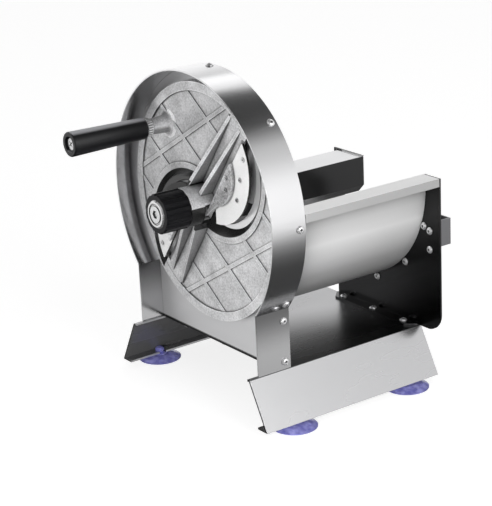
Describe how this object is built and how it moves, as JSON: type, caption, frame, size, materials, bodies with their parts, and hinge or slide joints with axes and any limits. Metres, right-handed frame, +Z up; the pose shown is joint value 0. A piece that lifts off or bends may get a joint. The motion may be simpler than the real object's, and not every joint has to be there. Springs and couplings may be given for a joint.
{
  "type": "vegetable slicer",
  "caption": "Hand-cranked slicer: a turning cast disc with curved blades and a knob-set slice gauge, in a steel hoop with a half-round feed trough on a suction-cup stand",
  "frame": {"origin": "on the table, midway between the outermost points left to right and front to back", "axes": "+Z up, -Y towards the user at the crank, +X to the user's right, on the trough's side"},
  "size_m": [0.2896, 0.3294, 0.3482],
  "materials": {
    "satin_steel": "satin",
    "trough_steel": "satin",
    "deck_steel": "satin",
    "polished_steel": "polished",
    "fastener_steel": "polished",
    "blade_steel": "ground",
    "spindle_steel": "turned",
    "cast_aluminium": "blasted casting",
    "gauge_plate": "blasted casting",
    "black_plastic": "satin",
    "bronze": "sintered",
    "cup_vinyl": "glossy, translucent"
  },
  "bodies": {
    "stand": {"base_deck": "deck_steel", "front_left_cup": "cup_vinyl", "front_right_cup": "cup_vinyl", "rear_left_cup": "cup_vinyl", "rear_right_cup": "cup_vinyl", "hoop_band": "satin_steel", "back_plate": "satin_steel", "band_screws": "fastener_steel", "feed_trough": "trough_steel", "end_plate": "polished_steel", "trough_bolts": "fastener_steel", "deck_bolts": "fastener_steel", "rear_bracket": "satin_steel", "bracket_bolts": "fastener_steel", "spindle_housing": "polished_steel", "bearing_sleeve": "spindle_steel", "sleeve_screws": "fastener_steel", "front_bush": "bronze", "rear_bush": "bronze"},
    "rotor": {"cutting_disc": "cast_aluminium", "right_blade": "blade_steel", "left_blade": "blade_steel", "blade_screws": "fastener_steel", "spindle_shaft": "spindle_steel", "spindle_nut": "fastener_steel", "spindle_screws": "fastener_steel", "crank_collar": "cast_aluminium", "crank_bolt": "fastener_steel"},
    "gauge": {"gauge_carrier": "cast_aluminium", "right_gauge_wing": "gauge_plate", "left_gauge_wing": "gauge_plate", "gauge_screws": "fastener_steel"},
    "knob": {"adjusting_screw": "spindle_steel", "thickness_knob": "black_plastic", "knob_cap": "fastener_steel"},
    "grip": {"crank_grip": "black_plastic"}
  },
  "joints": [
    {"name": "disc_spin", "type": "hinge", "parent": "stand", "child": "rotor", "pos_m": [0, -0.0673, 0.208], "axis": [0, -1, 0], "continuous": true},
    {"name": "grip_spin", "type": "hinge", "parent": "rotor", "child": "grip", "pos_m": [-0.06104, -0.1173, 0.27896], "axis": [0, -1, 0], "continuous": true},
    {"name": "knob_turn", "type": "hinge", "parent": "rotor", "child": "knob", "pos_m": [0, -0.0873, 0.208], "axis": [0, -1, 0], "range_deg": [-990, 810]},
    {"name": "gauge_slide", "type": "slide", "parent": "rotor", "child": "gauge", "axis": [0, -1, 0], "range_m": [-0.0055, 0.0045]}
  ],
  "couplings": [
    {"joint": "knob_turn", "follows": "gauge_slide", "rad_per_m": 3141.6}
  ]
}
